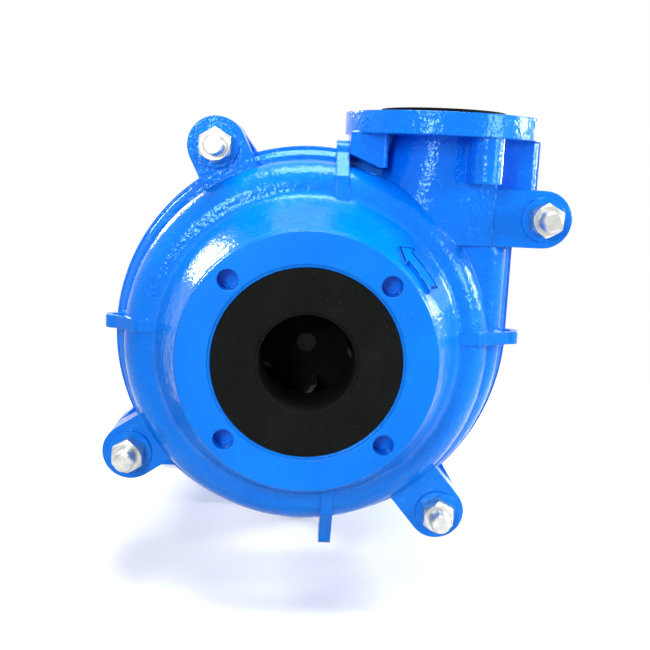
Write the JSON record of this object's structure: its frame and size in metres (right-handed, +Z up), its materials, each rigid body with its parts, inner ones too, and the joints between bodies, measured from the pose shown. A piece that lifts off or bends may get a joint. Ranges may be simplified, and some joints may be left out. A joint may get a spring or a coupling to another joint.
{
  "type": "slurry pump",
  "caption": "Rubber-lined centrifugal slurry pump: split volute casing, upright discharge, packed gland, bearing cartridge and footed base.",
  "frame": {"origin": "centre of the intake flange face, on the shaft axis", "axes": "+Y along the shaft from the intake to the drive end, +Z up, +X towards the discharge side"},
  "size_m": [0.4612, 0.813, 0.4917],
  "materials": {
    "blue_enamel": "gloss",
    "black_rubber": "matt",
    "zinc": "satin",
    "steel": "satin",
    "bearing_steel": "polished",
    "white_iron": "as cast",
    "packing": "plaited",
    "bronze": "satin"
  },
  "bodies": {
    "casing": {"base": "blue_enamel", "cover_plate": "blue_enamel", "frame_plate": "blue_enamel", "cover_plate_liner": "black_rubber", "frame_plate_liner": "black_rubber", "frame_plate_liner_insert": "black_rubber", "stuffing_box": "blue_enamel", "lantern_ring": "bronze", "packing_rings": "packing", "gland_bolts": "zinc", "frame_studs": "zinc", "frame_nuts": "zinc", "clamp_washers": "zinc", "clamp_bolts": "zinc", "adjusting_screw": "zinc", "cover_plate_bolts": "zinc", "cover_plate_nuts": "zinc"},
    "gland": {"gland_halves": "blue_enamel", "gland_clamp_bolts": "zinc", "gland_nuts": "zinc"},
    "bearing_cartridge": {"bearing_housing": "blue_enamel", "grease_nipples": "bronze", "front_end_cover": "blue_enamel", "rear_end_cover": "blue_enamel", "end_cover_screws": "zinc", "front_bearing_cup": "bearing_steel", "rear_bearing_cup": "bearing_steel"},
    "rotor": {"shaft": "steel", "shaft_key": "steel", "shaft_sleeve": "steel", "shaft_spacer": "steel", "impeller": "white_iron", "front_bearing_cone": "bearing_steel", "rear_bearing_cone": "bearing_steel", "front_labyrinth": "steel", "rear_labyrinth": "steel", "labyrinth_locknut": "steel"},
    "front_roller_set": {"front_bearing_rollers": "bearing_steel", "front_bearing_cage": "bronze"},
    "rear_roller_set": {"rear_bearing_rollers": "bearing_steel", "rear_bearing_cage": "bronze"},
    "adjuster": {"adjusting_nuts": "zinc"}
  },
  "joints": [
    {"name": "cartridge_slide", "type": "slide", "parent": "casing", "child": "bearing_cartridge", "axis": [0, 1, 0], "range_m": [-0.002, 0.002]},
    {"name": "rotor_spin", "type": "hinge", "parent": "bearing_cartridge", "child": "rotor", "pos_m": [0, 0.5, 0], "axis": [0, -1, 0], "continuous": true},
    {"name": "front_roller_spin", "type": "hinge", "parent": "bearing_cartridge", "child": "front_roller_set", "pos_m": [0, 0.443, 0], "axis": [0, -1, 0], "continuous": true},
    {"name": "rear_roller_spin", "type": "hinge", "parent": "bearing_cartridge", "child": "rear_roller_set", "pos_m": [0, 0.659, 0], "axis": [0, -1, 0], "continuous": true},
    {"name": "adjuster_turn", "type": "hinge", "parent": "bearing_cartridge", "child": "adjuster", "pos_m": [0, 0.682, -0.106], "axis": [0, 1, 0], "range_deg": [-360, 360]},
    {"name": "gland_slide", "type": "slide", "parent": "casing", "child": "gland", "axis": [0, 1, 0], "range_m": [0, 0.03]}
  ],
  "couplings": [
    {"joint": "front_roller_spin", "follows": "rotor_spin", "ratio": 0.4341},
    {"joint": "rear_roller_spin", "follows": "rotor_spin", "ratio": 0.4341},
    {"joint": "adjuster_turn", "follows": "cartridge_slide", "rad_per_m": 3141.6}
  ]
}
